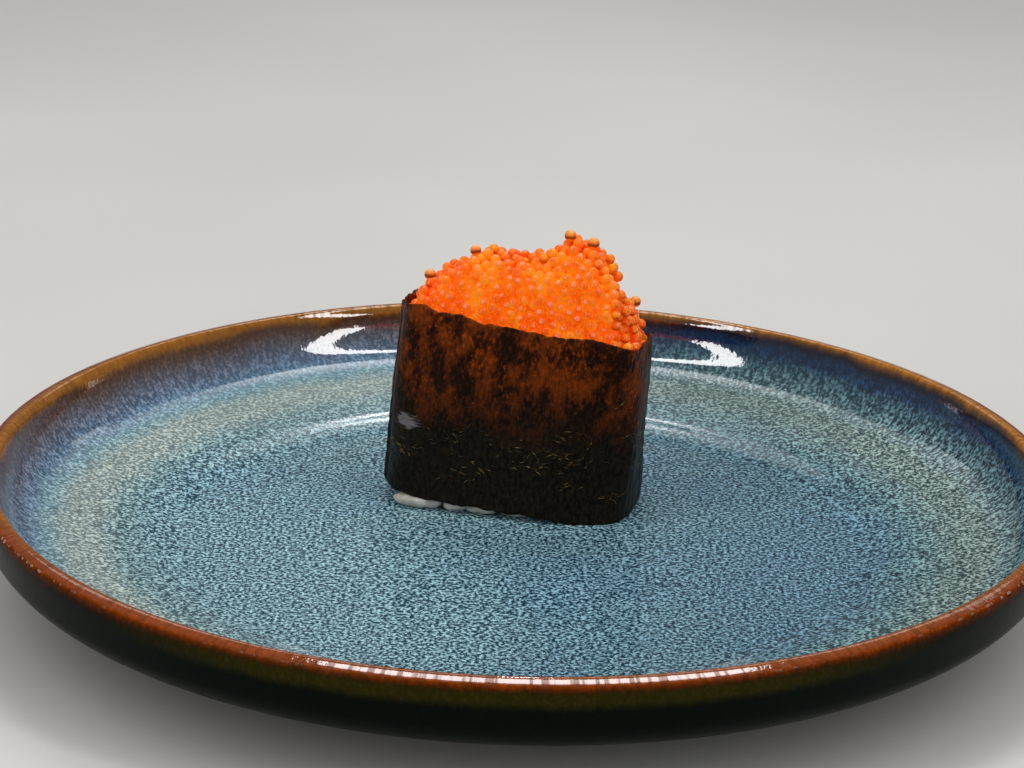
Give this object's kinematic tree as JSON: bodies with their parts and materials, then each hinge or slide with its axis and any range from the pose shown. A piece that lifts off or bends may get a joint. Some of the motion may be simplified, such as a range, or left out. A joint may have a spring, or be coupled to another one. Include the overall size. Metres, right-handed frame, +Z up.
{
  "type": "plate of tobiko",
  "caption": "Round glazed side plate carrying one boat-shaped sushi of rice, wrapped in a strip of seaweed and heaped with flying fish roe.",
  "frame": {"origin": "on the plate's axis, at the level of the foot ring that it stands on", "axes": "+Z up along the plate's axis; -Y towards the side that the picture was taken from; the sushi's long side runs roughly along X"},
  "size_m": [0.18, 0.18, 0.0558],
  "materials": {
    "glaze": "reactive blue and sea-green glaze, mottled in the well, with an amber-brown lip, glossy",
    "rice": "moist cooked rice, slightly translucent",
    "seaweed": "moist roasted seaweed, near black, wrinkled, satin",
    "roe": "wet translucent orange eggs"
  },
  "bodies": {
    "root": {"plate": "glaze", "rice_block": "rice", "seaweed_strip": "seaweed", "roe_heap": "roe"}
  },
  "joints": []
}
